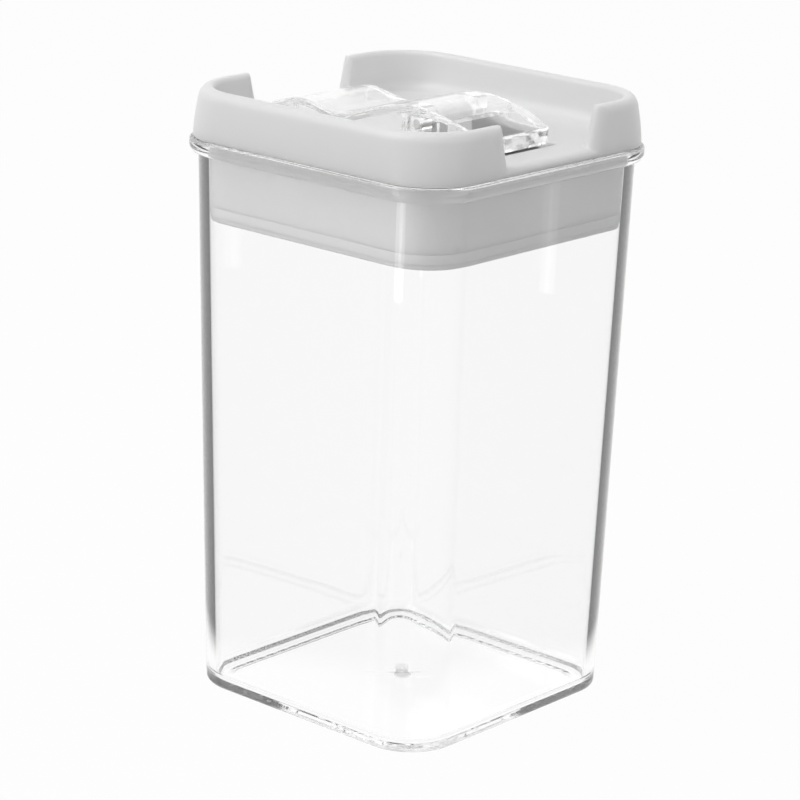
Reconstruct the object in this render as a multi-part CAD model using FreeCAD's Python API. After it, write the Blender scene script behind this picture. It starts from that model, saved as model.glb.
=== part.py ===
import FreeCAD, Part
import math
import os

# Storage jar: a clear square jar, a white plug lid, and a clear lever whose cams squeeze the seal.
# Frame: origin at the bottom centre of the jar, +Z up, the lever lies along X, its pin along Y.
# All sizes are in millimetres.

# Jar, with the bead round its rim that the lid rests on
jar_height = 168.6
jar_rim_side = 100.0
jar_base_side = 93.6
jar_corner_radius = 16.25
jar_wall = 3.0
jar_base_thickness = 2.0
jar_base_edge_radius = 1.8
jar_inner_edge_radius = 3.0
jar_rim_radius = 0.8
bead_proud = 2.5
bead_height = 4.6
bead_top_radius = 1.6
bead_foot_radius = 2.4
foot_rim_width = 7.8
foot_recess_depth = 0.4
foot_slope_width = 2.0
gate_diameter = 6.0
gate_depth = 0.4

# Skirt: the plug in the jar's mouth
plug_clearance = 0.3
skirt_depth = 19.6
skirt_wall = 2.4
skirt_flange_height = 2.0

# Cover: the tray that rests on the jar's rim
cover_proud = 1.15
cover_height = 14.8
cover_lean = 1.8
cover_bulge = 0.5
cover_wall = 4.0
cover_rim_radius = 1.9
crease_depth = 0.5
tray_floor_rise = 2.6
tray_floor_thickness = 2.2
tray_fillet_radius = 4.0
notch_floor_width = 36.6
notch_top_width = 43.0
notch_edge_radius = 1.2
locating_rib_thickness = 1.5
locating_rib_depth = 2.2
locating_rib_clearance = 0.15

# Seal and pressure plate
seal_height = 3.0
seal_width = 4.8
seal_fit_clearance = 0.1
plate_clearance = 0.5
plate_flange_height = 1.5
plate_thickness = 3.0
plate_edge_radius = 0.6

# Hinge: pin, post and the cams that ride on the tray floor
pivot_offset = 11.0
pivot_rise = 5.3
pin_diameter = 3.0
pin_running_clearance = 0.05
pin_seat_clearance = 0.02
pin_end_setback = 0.3
cam_travel_per_radian = 2.0
cam_floor_clearance = 0.15
cam_heel_radius = 2.0
cam_top_width = 7.5
lever_swing = 70.0
cam_spare_angle = 5.0
post_width = 14.0
post_thickness = 5.8
post_clearance = 0.3
guide_wall = 2.0
guide_depth = 12.0
guide_reach = 1.0

# Lever: tip and tail setbacks from the cover's foot, crest and dip setbacks from the point before them,
# reaches from the pivot, rises above the tray floor
lever_width = 32.0
lever_tail_width = 29.0
lever_tip_setback = 3.15
lever_tail_setback = 12.65
lever_tip_rise = 2.6
paddle_ramp_reach = 52.0
paddle_ramp_rise = 4.6
paddle_crest_setback = 8.0
paddle_crest_rise = 6.4
paddle_dip_setback = 13.5
paddle_dip_rise = 4.2
hump_flank_reach = 14.3
hump_flank_rise = 8.1
hump_peak_rise = 11.0
hump_shoulder_reach = 15.0
hump_shoulder_rise = 8.9
lever_tail_rise = 4.8
lever_floor_gap = 0.5
lever_skin = 2.3
lever_cheek = 2.4
tail_block_reach = 13.0
cheek_start_reach = 45.0
recess_left_reach = 3.2
recess_right_reach = 10.0
lobe_width = 4.6
lever_tip_corner_radius = 7.0
lever_tail_corner_radius = 3.5
lever_edge_radius = 0.8
tail_clearance = 0.6

# Screws that hold the post to the plate
screw_spacing = 8.0
screw_shank_diameter = 2.6
screw_shank_length = 9.5
screw_head_diameter = 5.0
screw_head_height = 1.3
screw_clearance = 0.05
screw_head_recess = 0.2

# Levels and half widths that several pieces share
rim_z = jar_height
bead_foot_z = rim_z - bead_height
tray_floor_z = rim_z + tray_floor_rise
tray_underside_z = tray_floor_z - tray_floor_thickness
cover_top_z = rim_z + cover_height
skirt_bottom_z = rim_z - skirt_depth
seal_bottom_z = skirt_bottom_z - seal_height
plate_bottom_z = seal_bottom_z - plate_flange_height
plate_top_z = plate_bottom_z + plate_thickness
pivot_z = tray_floor_z + pivot_rise
rim_half = jar_rim_side / 2
corner_centre = rim_half - jar_corner_radius
cover_foot_half = rim_half + cover_proud
cover_top_half = cover_foot_half - cover_lean
inner_corner_radius = jar_corner_radius - jar_wall
seal_hole_half = rim_half - jar_wall - plug_clearance - seal_width
lever_tip_x = lever_tip_setback - cover_foot_half
lever_tail_x = cover_foot_half - lever_tail_setback
paddle_crest_reach = paddle_ramp_reach - paddle_crest_setback
paddle_dip_reach = paddle_crest_reach - paddle_dip_setback
lever_base_z = tray_floor_z + lever_floor_gap
lever_inner_half = lever_width / 2 - lever_cheek
pin_radius = pin_diameter / 2
beyond = 1.0


def vec(x, y, z):
    """A point or direction."""
    return FreeCAD.Vector(x, y, z)


def rounded_wire(points, radii):
    """A closed wire through corner points in one plane, each corner rounded by its own tangent arc."""
    count = len(points)
    starts = []
    ends = []
    mids = []
    for i in range(count):
        corner = points[i]
        towards_last = (points[i - 1] - corner).normalize()
        towards_next = (points[(i + 1) % count] - corner).normalize()
        half_angle = towards_last.getAngle(towards_next) / 2
        reach = radii[i] / math.tan(half_angle)
        inward = (towards_last + towards_next).normalize()
        depth = radii[i] / math.sin(half_angle) - radii[i]
        starts.append(corner + towards_last * reach)
        ends.append(corner + towards_next * reach)
        mids.append(corner + inward * depth)
    edges = []
    for i in range(count):
        edges.append(Part.Arc(starts[i], mids[i], ends[i]).toShape())
        edges.append(Part.LineSegment(ends[i], starts[(i + 1) % count]).toShape())
    return Part.Wire(edges)


def rounded_square(half, radius, z):
    """A square of the given half side, with rounded corners, at a height."""
    corners = [vec(half, -half, z), vec(half, half, z), vec(-half, half, z), vec(-half, -half, z)]
    return rounded_wire(corners, [radius] * 4)


def square_prism(half, radius, z_low, z_high):
    """An upright square prism with rounded corners."""
    return Part.Face(rounded_square(half, radius, z_low)).extrude(vec(0, 0, z_high - z_low))


def square_taper(half_low, radius_low, z_low, half_high, radius_high, z_high):
    """A square prism with rounded corners whose section changes evenly from its bottom to its top."""
    low = rounded_square(half_low, radius_low, z_low)
    high = rounded_square(half_high, radius_high, z_high)
    return Part.makeLoft([low, high], True, True)


def box(x_low, x_high, y_low, y_high, z_low, z_high):
    """A block between two corners."""
    return Part.makeBox(x_high - x_low, y_high - y_low, z_high - z_low, vec(x_low, y_low, z_low))


def edges_at_level(shape, z):
    """The edges of a shape that lie wholly at one height."""
    found = []
    for edge in shape.Edges:
        limits = edge.BoundBox
        if abs(limits.ZMin - z) < 1e-4 and abs(limits.ZMax - z) < 1e-4:
            found.append(edge)
    return found


def path_wire(points):
    """A closed wire of straight lines through points."""
    return Part.makePolygon(points + [points[0]])


def jar_outer_half(z):
    """Half the jar's outer side at a height."""
    return (jar_base_side + (jar_rim_side - jar_base_side) * z / jar_height) / 2


def jar_inner_half(z):
    """Half the jar's inner side at a height."""
    return jar_outer_half(z) - jar_wall


def plug_taper(clearance, z_low, z_high):
    """A solid that follows the inside of the jar at a clearance, between two heights."""
    radius = inner_corner_radius - clearance
    low = jar_inner_half(z_low) - clearance
    high = jar_inner_half(z_high) - clearance
    return square_taper(low, radius, z_low, high, radius, z_high)


def swept_ring(edges):
    """A profile carried round the rounded square of the lid: four straight runs and four quarter turns."""
    profile = Part.Face(Part.Wire(edges))
    profile.translate(vec(0, -corner_centre, 0))
    run = profile.extrude(vec(0, 2 * corner_centre, 0))
    profile.translate(vec(0, 2 * corner_centre, 0))
    turn = profile.revolve(vec(corner_centre, corner_centre, 0), vec(0, 0, 1), 90)
    pieces = []
    for quarter in range(4):
        for piece in (run, turn):
            copy = piece.copy()
            copy.rotate(vec(0, 0, 0), vec(0, 0, 1), 90 * quarter)
            pieces.append(copy)
    return pieces[0].multiFuse(pieces[1:])


def jar_body():
    """The jar: a tapered square shell with a rim bead, a rounded inner floor, a foot rim and a gate mark."""
    half_base = jar_base_side / 2
    outer = square_taper(half_base, jar_corner_radius, 0, rim_half, jar_corner_radius, jar_height)
    outer = outer.makeFillet(jar_base_edge_radius, edges_at_level(outer, 0))
    bead_half = rim_half + bead_proud
    bead = square_prism(bead_half, bead_half - corner_centre, bead_foot_z, rim_z)
    bead = bead.makeFillet(bead_top_radius, edges_at_level(bead, rim_z))
    bead = bead.makeFillet(bead_foot_radius, edges_at_level(bead, bead_foot_z))
    cavity = plug_taper(0, jar_base_thickness, jar_height)
    cavity = cavity.makeFillet(jar_inner_edge_radius, edges_at_level(cavity, jar_base_thickness))
    recess_half = half_base - foot_rim_width
    recess_radius = jar_corner_radius - foot_rim_width
    recess = square_taper(
        recess_half, recess_radius, 0,
        recess_half - foot_slope_width, recess_radius - foot_slope_width, foot_recess_depth)
    gate = Part.makeCylinder(gate_diameter / 2, foot_recess_depth + gate_depth)
    jar = outer.fuse(bead).cut(cavity).cut(recess).cut(gate)
    return jar.makeFillet(jar_rim_radius, mouth_edges(jar))


def mouth_edges(jar):
    """The edges round the jar's mouth, on the inside of its rim."""
    limit = rim_half - jar_wall / 2
    found = []
    for edge in edges_at_level(jar, rim_z):
        extent = edge.BoundBox
        if max(extent.XMax, -extent.XMin, extent.YMax, -extent.YMin) < limit:
            found.append(edge)
    return found


def lid_skirt():
    """The plug below the cover: a tapered wall with an inward flange that presses the seal."""
    plug = plug_taper(plug_clearance, skirt_bottom_z, rim_z)
    cavity_half = skirt_cavity_half()
    cavity = square_prism(
        cavity_half, cavity_half - corner_centre,
        skirt_bottom_z + skirt_flange_height, rim_z)
    flange_hole = square_prism(
        seal_hole_half, seal_hole_half - corner_centre,
        skirt_bottom_z, skirt_bottom_z + skirt_flange_height)
    return plug.cut(cavity).cut(flange_hole)


def skirt_cavity_half():
    """Half the side of the straight space inside the skirt."""
    return jar_inner_half(skirt_bottom_z) - plug_clearance - skirt_wall


def cover_ring():
    """The cover's wall: crease, leaning convex outside, round rim, filleted foot and locating rib."""
    inner_foot = cover_foot_half - cover_wall
    inner_top = cover_top_half - cover_wall
    rib_outer = skirt_cavity_half() - locating_rib_clearance
    rib_inner = rib_outer - locating_rib_thickness
    rib_z = rim_z - locating_rib_depth
    floor_end = cover_floor_half()
    round_z = cover_top_z - cover_rim_radius
    diagonal = cover_rim_radius * (1 - math.sqrt(0.5))
    crease_z = rim_z + crease_depth
    belly = vec((cover_foot_half + cover_top_half) / 2 + cover_bulge, 0, (crease_z + round_z) / 2)
    foot = vec(cover_foot_half, 0, crease_z)
    rim_outside = vec(cover_top_half, 0, round_z)
    rim_outer_mid = vec(cover_top_half - diagonal, 0, cover_top_z - diagonal)
    rim_outer_top = vec(cover_top_half - cover_rim_radius, 0, cover_top_z)
    rim_inner_top = vec(inner_top + cover_rim_radius, 0, cover_top_z)
    rim_inner_mid = vec(inner_top + diagonal, 0, cover_top_z - diagonal)
    rim_inside = vec(inner_top, 0, round_z)
    hollow_top = vec(inner_foot, 0, tray_floor_z + tray_fillet_radius)
    hollow = tray_fillet_radius * (1 - math.sqrt(0.5))
    hollow_mid = vec(inner_foot - hollow, 0, tray_floor_z + hollow)
    hollow_end = vec(inner_foot - tray_fillet_radius, 0, tray_floor_z)
    straight = [
        hollow_end,
        vec(floor_end, 0, tray_floor_z),
        vec(floor_end, 0, tray_underside_z),
        vec(rib_inner, 0, tray_underside_z),
        vec(rib_inner, 0, rib_z),
        vec(rib_outer, 0, rib_z),
        vec(rib_outer, 0, rim_z),
        vec(cover_foot_half - crease_depth, 0, rim_z),
        foot,
    ]
    edges = [
        Part.Arc(foot, belly, rim_outside).toShape(),
        Part.Arc(rim_outside, rim_outer_mid, rim_outer_top).toShape(),
        Part.LineSegment(rim_outer_top, rim_inner_top).toShape(),
        Part.Arc(rim_inner_top, rim_inner_mid, rim_inside).toShape(),
        Part.LineSegment(rim_inside, hollow_top).toShape(),
        Part.Arc(hollow_top, hollow_mid, hollow_end).toShape(),
    ]
    for start, end in zip(straight, straight[1:]):
        edges.append(Part.LineSegment(start, end).toShape())
    return swept_ring(edges)


def cover_floor_half():
    """Half the side of the flat part of the tray floor, which ends inside the locating rib."""
    rib_inner = skirt_cavity_half() - locating_rib_clearance - locating_rib_thickness
    return min(rib_inner, cover_foot_half - cover_wall - tray_fillet_radius) - beyond


def notch_half(z):
    """Half the notch's width at a height."""
    share = (z - tray_floor_z) / (cover_top_z - tray_floor_z)
    return (notch_floor_width + (notch_top_width - notch_floor_width) * share) / 2


def notch():
    """The gap that lets a finger in: a prism along X, through both walls, that widens upwards."""
    low = notch_half(tray_floor_z)
    above_z = cover_top_z + beyond
    high = notch_half(above_z)
    reach = cover_foot_half + beyond
    points = [
        vec(-reach, -low, tray_floor_z),
        vec(-reach, low, tray_floor_z),
        vec(-reach, high, above_z),
        vec(-reach, -high, above_z),
    ]
    return Part.Face(path_wire(points)).extrude(vec(2 * reach, 0, 0))


def cover_face_half(z):
    """Half the cover's outer side at a height, on the straight line from its foot to its rim."""
    return cover_foot_half - cover_lean * (z - rim_z) / (cover_top_z - rim_z)


def notch_section(out, widen):
    """The notch's outline on a plane that leans with the wall, moved out from its face and widened."""
    low_z = tray_floor_z - widen
    high_z = cover_top_z + beyond
    low = notch_half(tray_floor_z) + widen
    high = notch_half(high_z) + widen
    low_x = cover_face_half(tray_floor_z) + out
    high_x = cover_face_half(high_z) + out
    return path_wire([
        vec(low_x, -low, low_z), vec(low_x, low, low_z),
        vec(high_x, high, high_z), vec(high_x, -high, high_z)])


def notch_flare():
    """The cut that rounds the notch's outer edges: sections round an arc, the last run on past the wall."""
    arc_end = math.radians(50)
    arc_steps = 2
    sections = []
    for step in range(arc_steps + 1):
        angle = arc_end * step / arc_steps
        out = notch_edge_radius * (math.sin(angle) - 1)
        widen = notch_edge_radius * (1 - math.cos(angle))
        sections.append(notch_section(out, widen))
    past = cover_bulge + beyond
    sections.append(notch_section(past, widen + (past - out) * math.tan(arc_end)))
    return Part.makeLoft(sections, True, True)


def lid_cover():
    """The tray: wall ring, floor with the lever's well, two notches and the post's guide."""
    floor_half = cover_floor_half() + beyond / 2
    floor = square_prism(floor_half, floor_half - corner_centre, tray_underside_z, tray_floor_z)
    guide_low_z = tray_underside_z - guide_depth
    slot_half = post_width / 2 + post_clearance
    slot_x = pivot_offset - post_thickness / 2 - post_clearance
    guide = box(
        slot_x - guide_wall, pivot_offset + guide_reach,
        -slot_half - guide_wall, slot_half + guide_wall,
        guide_low_z, tray_underside_z + tray_floor_thickness / 2)
    well_x = pivot_offset - cam_travel_per_radian + beyond
    well_half = lever_width / 2 + tail_clearance
    well = box(well_x, lever_tail_x + tail_clearance, -well_half, well_half, tray_underside_z, tray_floor_z)
    slot = box(
        slot_x, pivot_offset + guide_reach + beyond,
        -slot_half, slot_half, guide_low_z, tray_floor_z)
    flare = notch_flare()
    far_flare = flare.copy()
    far_flare.rotate(vec(0, 0, 0), vec(0, 0, 1), 180)
    cover = cover_ring().fuse(floor).removeSplitter().cut(notch()).cut(flare).cut(far_flare)
    return cover.cut(well).fuse(guide).cut(slot).removeSplitter()


def seal_ring():
    """The soft ring between the skirt's flange and the plate's flange, swelling close to the jar."""
    ring = plug_taper(plug_clearance, seal_bottom_z, skirt_bottom_z)
    hole = square_prism(seal_hole_half, seal_hole_half - corner_centre, seal_bottom_z, skirt_bottom_z)
    return ring.cut(hole)


def screw_places():
    """The two screw axes, in the foot of the post."""
    return [vec(pivot_offset, side * screw_spacing / 2, 0) for side in (-1, 1)]


def pressure_plate():
    """The plate: a thin flange under the seal, a raised middle inside it, and two screw holes."""
    flange = plug_taper(plate_clearance, plate_bottom_z, seal_bottom_z)
    flange = flange.makeFillet(plate_edge_radius, edges_at_level(flange, plate_bottom_z))
    boss_half = seal_hole_half - seal_fit_clearance
    plate = flange.fuse(square_prism(boss_half, boss_half - corner_centre, seal_bottom_z, plate_top_z))
    sink = screw_head_height + screw_head_recess
    for place in screw_places():
        hole_radius = screw_shank_diameter / 2 + screw_clearance
        head_radius = screw_head_diameter / 2 + screw_clearance
        plate = plate.cut(Part.makeCylinder(hole_radius, plate_thickness, place + vec(0, 0, plate_bottom_z)))
        plate = plate.cut(Part.makeCylinder(head_radius, sink, place + vec(0, 0, plate_bottom_z)))
    return plate


def plate_screws():
    """Two pan-head screws, from below through the plate into the post."""
    seat_z = plate_bottom_z + screw_head_recess
    screws = []
    for place in screw_places():
        head = Part.makeCylinder(screw_head_diameter / 2, screw_head_height, place + vec(0, 0, seat_z))
        head = head.makeFillet(screw_head_height / 3, edges_at_level(head, seat_z))
        shank = Part.makeCylinder(
            screw_shank_diameter / 2, screw_shank_length,
            place + vec(0, 0, seat_z + screw_head_height))
        screws.append(head.fuse(shank))
    return Part.makeCompound(screws)


def pull_post():
    """The post from the plate up to the pin, round at its top, with pilot holes for the screws."""
    half = post_thickness / 2
    left = pivot_offset - half
    right = pivot_offset + half
    arch = Part.Arc(vec(left, 0, pivot_z), vec(pivot_offset, 0, pivot_z + half), vec(right, 0, pivot_z))
    edges = [
        arch.toShape(),
        Part.LineSegment(vec(right, 0, pivot_z), vec(right, 0, plate_top_z)).toShape(),
        Part.LineSegment(vec(right, 0, plate_top_z), vec(left, 0, plate_top_z)).toShape(),
        Part.LineSegment(vec(left, 0, plate_top_z), vec(left, 0, pivot_z)).toShape(),
    ]
    side = Part.Face(Part.Wire(edges))
    side.translate(vec(0, -post_width / 2, 0))
    post = side.extrude(vec(0, post_width, 0))
    pin_hole = Part.makeCylinder(
        pin_radius + pin_seat_clearance, post_width,
        vec(pivot_offset, -post_width / 2, pivot_z), vec(0, 1, 0))
    post = post.cut(pin_hole)
    seat_z = plate_bottom_z + screw_head_recess + screw_head_height
    depth = seat_z + screw_shank_length + screw_clearance - plate_top_z
    for place in screw_places():
        pilot_radius = screw_shank_diameter / 2 + screw_clearance
        post = post.cut(Part.makeCylinder(pilot_radius, depth, place + vec(0, 0, plate_top_z)))
    return post


def hinge_pin():
    """The pin through both cam lobes and the post, with rounded ends."""
    half = lever_inner_half - pin_end_setback
    pin = Part.makeCylinder(pin_radius, 2 * half, vec(pivot_offset, -half, pivot_z), vec(0, 1, 0))
    ends = [edge for edge in pin.Edges if edge.Curve.TypeId == "Part::GeomCircle"]
    return pin.makeFillet(pin_radius / 4, ends)


def lever_top_curve():
    """The wavy top of the lever seen from its side: tip, ramp, paddle crest, dip, hump and tail."""
    rises = [
        (lever_tip_x, lever_tip_rise),
        (pivot_offset - paddle_ramp_reach, paddle_ramp_rise),
        (pivot_offset - paddle_crest_reach, paddle_crest_rise),
        (pivot_offset - paddle_dip_reach, paddle_dip_rise),
        (pivot_offset - hump_flank_reach, hump_flank_rise),
        (pivot_offset, hump_peak_rise),
        (pivot_offset + hump_shoulder_reach, hump_shoulder_rise),
        (lever_tail_x, lever_tail_rise),
    ]
    curve = Part.BSplineCurve()
    curve.interpolate([vec(x, 0, tray_floor_z + rise) for x, rise in rises])
    return curve


def under_curve(drop, floor_z, half_low, half_high):
    """The space between the top curve, lowered by a drop, and a level, over a span of Y."""
    top = lever_top_curve().toShape()
    top.translate(vec(0, half_low, -drop))
    start = top.Vertexes[0].Point
    end = top.Vertexes[-1].Point
    corners = [end, vec(end.x, half_low, floor_z), vec(start.x, half_low, floor_z), start]
    edges = [top]
    for first, second in zip(corners, corners[1:]):
        edges.append(Part.LineSegment(first, second).toShape())
    return Part.Face(Part.Wire(edges)).extrude(vec(0, half_high - half_low, 0))


def lever_plan():
    """The lever's outline from above, as a tall prism: wide paddle, narrower tail, round corners."""
    wide = lever_width / 2
    narrow = lever_tail_width / 2
    shoulder_x = pivot_offset + hump_shoulder_reach
    points = [
        vec(lever_tip_x, -wide, lever_base_z),
        vec(shoulder_x, -wide, lever_base_z),
        vec(lever_tail_x, -narrow, lever_base_z),
        vec(lever_tail_x, narrow, lever_base_z),
        vec(shoulder_x, wide, lever_base_z),
        vec(lever_tip_x, wide, lever_base_z),
    ]
    tip = lever_tip_corner_radius
    tail = lever_tail_corner_radius
    shoulder = hump_shoulder_reach
    outline = rounded_wire(points, [tip, shoulder, tail, tail, shoulder, tip])
    return Part.Face(outline).extrude(vec(0, 0, hump_peak_rise + beyond))


def cam_point(angle):
    """A point of the cam, where its support distance falls evenly with the angle from straight down.

    The distance from pivot to tangent is h = start - travel * angle along n = (sin, -cos), and the
    touching point is h n + h' t with t = (cos, sin), so the lever lowers the pin at a steady rate.
    """
    height = pivot_rise - cam_floor_clearance - cam_travel_per_radian * angle
    x = height * math.sin(angle) - cam_travel_per_radian * math.cos(angle)
    z = -height * math.cos(angle) - cam_travel_per_radian * math.sin(angle)
    return vec(pivot_offset + x, 0, pivot_z + z)


def cam_lobe(half_low, half_high):
    """One cam: a round heel, the even-rate curve, and a stem up into the lever's skin."""
    last = math.radians(lever_swing + cam_spare_angle)
    steps = 8
    points = [cam_point(last * i / steps) for i in range(steps + 1)]
    curve = Part.BSplineCurve()
    curve.interpolate(points)
    toe = points[0]
    end = points[-1]
    heel = vec(toe.x - cam_heel_radius, 0, toe.z + cam_heel_radius)
    turn = cam_heel_radius * math.sqrt(0.5)
    heel_mid = vec(toe.x - turn, 0, toe.z + cam_heel_radius - turn)
    stem_z = tray_floor_z + hump_peak_rise - lever_skin / 2
    stem_left = vec(heel.x, 0, stem_z)
    stem_right = vec(heel.x + cam_top_width, 0, stem_z)
    edges = [Part.Arc(heel, heel_mid, toe).toShape(), curve.toShape()]
    corners = [end, stem_right, stem_left, heel]
    for first, second in zip(corners, corners[1:]):
        edges.append(Part.LineSegment(first, second).toShape())
    face = Part.Face(Part.Wire(edges))
    face.translate(vec(0, half_low, 0))
    return face.extrude(vec(0, half_high - half_low, 0))


def tail_block(half):
    """The solid end of the tail, cut slanting below so that it stays clear of the post when raised."""
    start_x = pivot_offset + tail_block_reach
    block = box(start_x, lever_tail_x + beyond, -half, half, lever_base_z - beyond, cover_top_z)
    post_side = pivot_offset + post_thickness / 2 + post_clearance
    reach = 2 * lever_tail_x
    clear = box(post_side, post_side + reach, -half, half, pivot_z - reach, pivot_z + reach)
    clear.rotate(vec(pivot_offset, 0, pivot_z), vec(0, 1, 0), -lever_swing)
    return block.common(clear)


def flip_lever():
    """The clear lever: a wavy skin with cheeks, a tail block, side recesses and two cam lobes."""
    wide = lever_width / 2 + beyond
    low_z = lever_base_z - beyond
    body = under_curve(0, lever_base_z, -wide, wide).common(lever_plan())
    top = max(body.Faces, key=lambda face: face.Area)
    body = body.makeFillet(lever_edge_radius, top.Edges)
    hollow = under_curve(lever_skin, low_z, -lever_inner_half, lever_inner_half)
    hollow = hollow.cut(tail_block(wide))
    below = under_curve(lever_skin, low_z, -wide, wide)
    paddle_gap = below.common(box(
        lever_tip_x - beyond, pivot_offset - cheek_start_reach, -wide, wide, low_z, cover_top_z))
    recess = below.common(box(
        pivot_offset - recess_left_reach, pivot_offset + recess_right_reach,
        -wide, wide, low_z, cover_top_z))
    lever = body.cut(hollow).cut(paddle_gap).cut(recess)
    lobe_low = lever_inner_half - lobe_width
    lobes = [cam_lobe(lobe_low, lever_inner_half), cam_lobe(-lever_inner_half, -lobe_low)]
    lever = lever.multiFuse(lobes)
    pin_hole = Part.makeCylinder(
        pin_radius + pin_running_clearance, 2 * wide,
        vec(pivot_offset, -wide, pivot_z), vec(0, 1, 0))
    return lever.cut(pin_hole)


pieces = {
    "jar_body": jar_body,
    "lid_skirt": lid_skirt,
    "lid_cover": lid_cover,
    "seal_ring": seal_ring,
    "pressure_plate": pressure_plate,
    "plate_screws": plate_screws,
    "pull_post": pull_post,
    "hinge_pin": hinge_pin,
    "flip_lever": flip_lever,
}

os.makedirs("parts", exist_ok=True)
for name, make in pieces.items():
    shape = make()
    print(name, len(shape.Solids), "solids", round(shape.Volume / 1000, 2), "cm3", shape.isValid())
    shape.exportStep("parts/" + name + ".step")
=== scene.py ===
import math

import bpy
import numpy as np
from bpy.props import FloatProperty, PointerProperty, StringProperty
from mathutils import Matrix, Vector


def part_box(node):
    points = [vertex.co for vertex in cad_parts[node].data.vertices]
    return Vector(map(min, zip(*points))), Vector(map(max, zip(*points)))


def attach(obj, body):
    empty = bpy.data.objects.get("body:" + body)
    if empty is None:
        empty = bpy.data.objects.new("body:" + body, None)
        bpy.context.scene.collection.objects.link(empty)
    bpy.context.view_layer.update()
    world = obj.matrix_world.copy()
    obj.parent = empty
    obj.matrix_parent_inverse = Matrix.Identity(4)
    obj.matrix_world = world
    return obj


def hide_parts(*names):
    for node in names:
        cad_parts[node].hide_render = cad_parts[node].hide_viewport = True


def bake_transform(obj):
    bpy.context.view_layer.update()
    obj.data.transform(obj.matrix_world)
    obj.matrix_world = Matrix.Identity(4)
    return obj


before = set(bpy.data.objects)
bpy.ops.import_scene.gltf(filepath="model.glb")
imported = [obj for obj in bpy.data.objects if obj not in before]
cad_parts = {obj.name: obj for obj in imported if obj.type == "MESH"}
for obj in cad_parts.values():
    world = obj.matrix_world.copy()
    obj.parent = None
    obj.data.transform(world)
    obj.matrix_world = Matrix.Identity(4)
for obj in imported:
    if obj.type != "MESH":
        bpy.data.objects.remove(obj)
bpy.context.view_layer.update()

bl_info = {
    "name": "Storage jar",
    "version": (1, 0, 0),
    "blender": (4, 5, 0),
    "location": "3D View > Sidebar > Storage jar",
    "description": "Dresses a storage jar's frame: clear jar, white tray lid, clear lever, studio",
    "category": "Object",
}

MM = 0.001
JAR_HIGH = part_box("jar_body")[1]
SKIRT_LOW, SKIRT_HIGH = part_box("lid_skirt")
COVER_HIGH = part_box("lid_cover")[1]
SEAL_LOW, SEAL_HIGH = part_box("seal_ring")
LEVER_LOW, LEVER_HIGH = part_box("flip_lever")

# Fits between the pieces, as the frame has them
SEAL_HOLE_HALF = 41.9 * MM
WELL_START = 10.0 * MM
WELL_GAP = 0.6 * MM
SLOT_HALF = 7.3 * MM
SLOT_REACH = 2.2 * MM
GUIDE_WALL = 2.0 * MM
GUIDE_LENGTH = 4.2 * MM
GUIDE_DEPTH = 12.0 * MM

# Softened edges: the jar's base, the skirt, the lever's well, and the ends of the squeezed seal
JAR_SOFT = 0.2 * MM
SKIRT_SOFT = 0.06 * MM
WELL_SOFT = 0.25 * MM
SEAL_PINCH = 0.05 * MM

# Steps of the grids round a corner, and along a side of the jar and of the lid
CORNER_STEPS = 24
JAR_SIDE_STEPS = 12
LID_SIDE_STEPS = 10
# Columns of the cover's notched sides: where the close ones begin and end, how many they are, the
# step along the side at their end, and half the width in steps of the edge of the post's slot
NOTCH_START = 14.0 * MM
NOTCH_REACH = 27.5 * MM
NOTCH_COLUMNS = 44
STEADY_STEP = 0.9
SLOT_EDGE = 0.0005
# Width of the tray floor's outermost band
FLOOR_BAND = 1.5 * MM
# A column whose direction has more than this along an axis lies on a side, not on a corner
ON_SIDE = 0.999

# Sockets of the Mix node that carry colours, by number because their names occur more than once
COLOUR_A, COLOUR_B, COLOUR_OUT = 6, 7, 2
# Bands of the Wave texture in one unit at scale 1
WAVE_BANDS = 20 / (2 * math.pi)
# Grey painted shade over the gate mark, and what a clear face lets through of a lamp's light
GATE_PAINTED_SHADE = "#D6D6D6"
LAMP_THROUGH = "#F8F8F8"

# The table: its paint, half its side in metres, and its distance below the jar
TABLE_PAINT = "#CCCCCC"
TABLE_HALF = 4.0
TABLE_DROP = 0.05 * MM
# Slack in the tests of how often a ray has turned
COUNT_SLACK = 0.5
# Share of the studio's white that lights matt faces through clear plastic
MATT_SHARE = 0.5
# Share of white at the table's sides for light that turned once inside a clear wall, and how far
# from the jar's axis they begin and end, each over a soft band, in metres
DIM_SIDES = 0.06
DIM_FROM = (0.07, 0.1)
DIM_TO = (0.73, 0.8)
# Points that the lamps look at, and the far strip lamp's share of the near one's power
LID_POINT = (0, 0, 0.15)
GLINT_POINT = (0, 0, 0.08)
FAR_STRIP_SHARE = 1 / 90


def length(name, description, size_mm):
    """A setting for a length, given in millimetres and kept in metres."""
    return FloatProperty(name=name, description=description, default=size_mm * MM, unit="LENGTH")


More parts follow.
